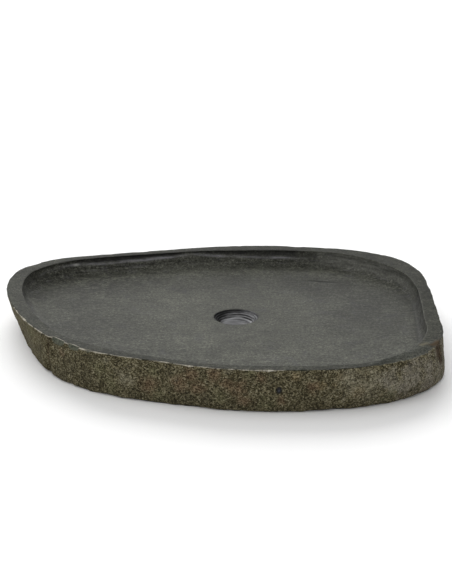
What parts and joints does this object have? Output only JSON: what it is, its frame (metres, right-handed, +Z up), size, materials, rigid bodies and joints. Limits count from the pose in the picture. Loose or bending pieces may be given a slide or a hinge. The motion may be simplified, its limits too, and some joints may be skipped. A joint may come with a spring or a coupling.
{
  "type": "river stone counter-top wash basin",
  "caption": "Shallow counter-top wash basin cut from one flat river stone: rough natural skin outside, ground bowl with a centred open waste hole.",
  "frame": {"origin": "on the supporting surface, under the middle of the basin's overall length and width", "axes": "+X to the right along the overall length, +Y to the back, +Z up out of the bowl; -Y is the long straight front"},
  "size_m": [0.6408, 0.54, 0.062],
  "materials": {
    "river_stone": "honed matt grey-green on the rim, bowl and underside; rough speckled olive-brown natural skin on the sides",
    "dark_mineral": "dense near-black mineral, matt"
  },
  "bodies": {
    "root": {"river_stone_basin": "river_stone", "dark_inclusion": "dark_mineral"}
  },
  "joints": []
}
